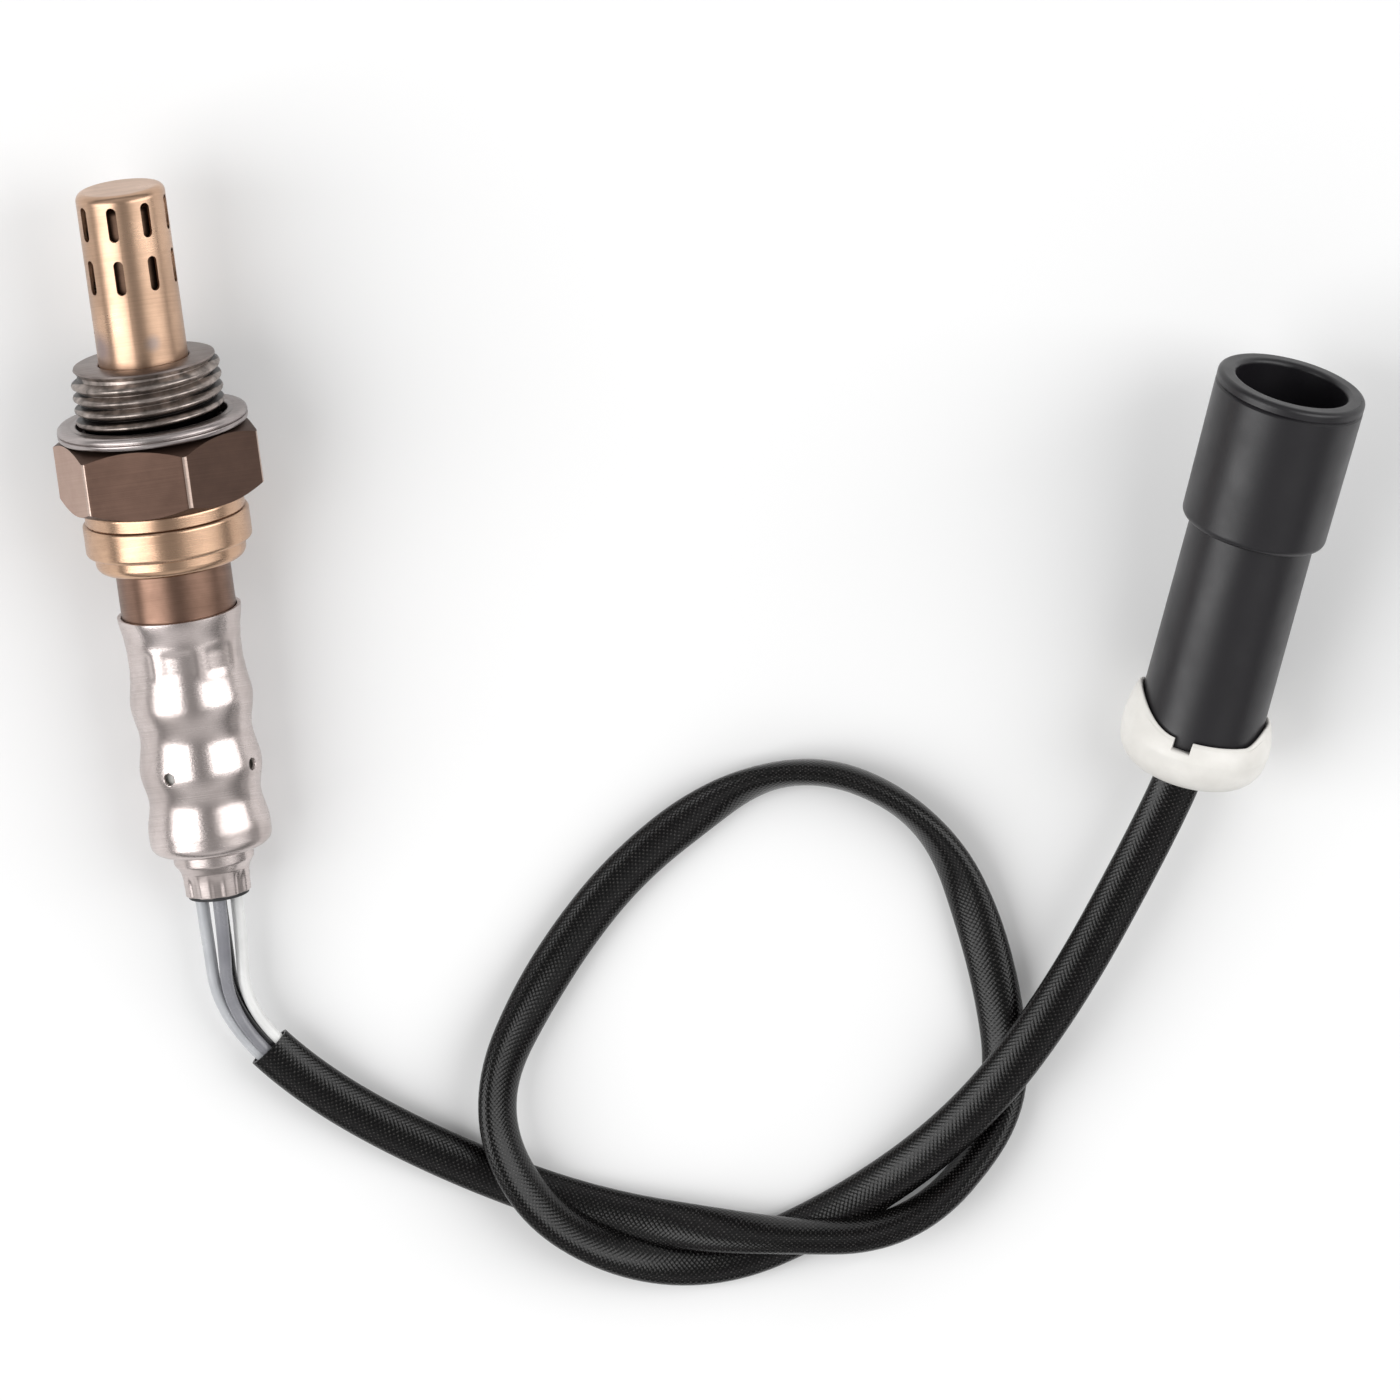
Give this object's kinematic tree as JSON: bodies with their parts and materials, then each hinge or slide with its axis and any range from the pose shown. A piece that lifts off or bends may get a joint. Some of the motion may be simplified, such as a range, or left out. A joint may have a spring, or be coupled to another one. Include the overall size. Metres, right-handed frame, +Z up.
{
  "type": "oxygen sensor",
  "caption": "Threaded exhaust oxygen sensor with a slotted tip, a sleeved lead lying in a loose overhand loop, and a round connector on its end.",
  "frame": {"origin": "middle of the sensor body's own box, on the surface that it lies on", "axes": "+Y along the sensor towards its slotted tip, +X across it towards the connector, +Z up"},
  "size_m": [0.1555, 0.1439, 0.0289],
  "materials": {
    "hexagon_steel": "satin, heat-browned",
    "gasket_steel": "satin",
    "tube_bronze": "satin, bronze tint",
    "gold_steel": "satin, yellow passivated",
    "copper_steel": "satin, copper tint",
    "sleeve_steel": "bright",
    "contact_metal": "bright",
    "white_ceramic": "matt",
    "powder": "matt",
    "filter": "porous",
    "black_rubber": "matt",
    "connector_black": "satin",
    "cap_white": "satin",
    "wire_light_grey": "satin",
    "wire_grey": "satin",
    "wire_black": "satin",
    "wire_white": "satin",
    "woven_black": "woven"
  },
  "bodies": {
    "root": {"sensor_shell": "hexagon_steel", "gasket": "gasket_steel", "protection_tube": "tube_bronze", "inner_tube": "tube_bronze", "sensing_element": "white_ceramic", "heater_rod": "white_ceramic", "seat_washer": "gasket_steel", "powder_seal": "powder", "packing_bush": "white_ceramic", "lock_ring": "gasket_steel", "neck_ring": "gold_steel", "clamp_band": "gold_steel", "casing_tube": "copper_steel", "outer_sleeve": "sleeve_steel", "vent_filter": "filter", "ferrule": "sleeve_steel", "grommet": "black_rubber", "contact_holder": "white_ceramic", "holder_spring": "contact_metal", "heater_contact_left": "contact_metal", "heater_contact_right": "contact_metal", "ground_contact": "contact_metal", "signal_contact": "contact_metal", "connector_shell": "connector_black", "connector_cap": "cap_white", "pin_holder": "connector_black", "heater_pin_left": "contact_metal", "heater_pin_right": "contact_metal", "ground_pin": "contact_metal", "signal_pin": "contact_metal", "connector_seal": "black_rubber", "heater_wire_left": "wire_light_grey", "heater_wire_right": "wire_white", "ground_wire": "wire_grey", "signal_wire": "wire_black", "sleeving": "woven_black"}
  },
  "joints": []
}
